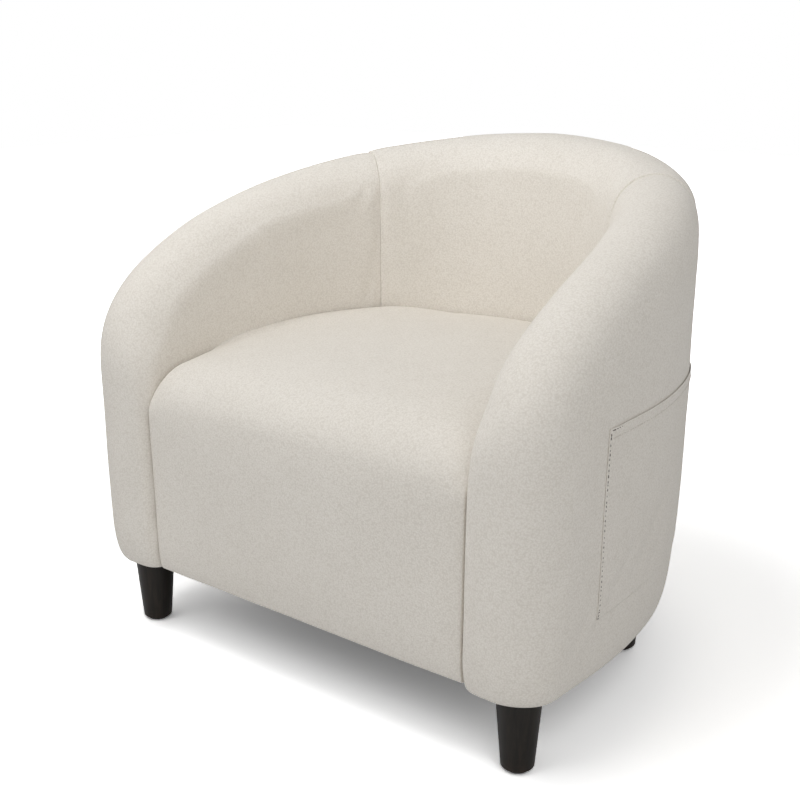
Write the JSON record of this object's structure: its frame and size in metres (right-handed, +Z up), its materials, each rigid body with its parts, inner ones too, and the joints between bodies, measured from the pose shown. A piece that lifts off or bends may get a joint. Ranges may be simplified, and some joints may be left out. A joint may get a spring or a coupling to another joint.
{
  "type": "upholstered tub armchair",
  "caption": "Low tub armchair: one padded wall sweeps down from back to arm fronts round a fixed sprung seat, with a flat pocket on one side and tapered wooden legs.",
  "frame": {"origin": "on the floor, under the middle of the bounding box", "axes": "+X to the right as seen from the front, along the width; -Y towards the front; +Z up"},
  "size_m": [0.7653, 0.628, 0.675],
  "materials": {
    "cover_fabric": "cream boucle-like woven cloth, matt",
    "foam": "polyurethane foam",
    "birch_ply": "sawn plywood",
    "pine": "sawn softwood",
    "fibreboard": "thin fibreboard",
    "webbing": "elastic webbing",
    "dust_cloth": "black non-woven cloth",
    "felt": "grey needled felt",
    "dark_wood": "espresso stain under satin lacquer",
    "nylon": "black nylon",
    "zinc_steel": "zinc-plated steel"
  },
  "bodies": {
    "root": {"base_ring": "birch_ply", "seat_ring": "birch_ply", "front_rail": "birch_ply", "corner_block_left": "pine", "corner_block_right": "pine", "arm_front_post_left": "pine", "arm_front_post_right": "pine", "arm_rear_post_left": "pine", "arm_rear_post_right": "pine", "back_post_left": "pine", "back_post_right": "pine", "side_strut_left": "pine", "side_strut_right": "pine", "arm_rail_left": "birch_ply", "arm_rail_right": "birch_ply", "back_rail": "birch_ply", "lumbar_rail": "birch_ply", "arm_board_left": "fibreboard", "arm_board_right": "fibreboard", "back_board": "fibreboard", "frame_screws": "zinc_steel", "seat_spring_1": "zinc_steel", "seat_spring_2": "zinc_steel", "seat_spring_3": "zinc_steel", "seat_spring_4": "zinc_steel", "seat_spring_5": "zinc_steel", "seat_spring_6": "zinc_steel", "front_spring_clips": "zinc_steel", "rear_spring_clips": "zinc_steel", "spring_tie_wires": "zinc_steel", "spring_felt": "felt", "arm_webbing_left": "webbing", "arm_webbing_right": "webbing", "back_webbing": "webbing", "arm_foam_left": "foam", "arm_foam_right": "foam", "back_foam": "foam", "seat_foam": "foam", "arm_cover_left": "cover_fabric", "arm_cover_right": "cover_fabric", "back_cover": "cover_fabric", "seat_cover": "cover_fabric", "side_pocket": "cover_fabric", "dust_cover": "dust_cloth", "leg_front_left": "dark_wood", "leg_front_right": "dark_wood", "leg_rear_left": "dark_wood", "leg_rear_right": "dark_wood", "leg_bolts": "zinc_steel", "leg_t_nuts": "zinc_steel", "glide_front_left": "nylon", "glide_front_right": "nylon", "glide_rear_left": "nylon", "glide_rear_right": "nylon"}
  },
  "joints": []
}
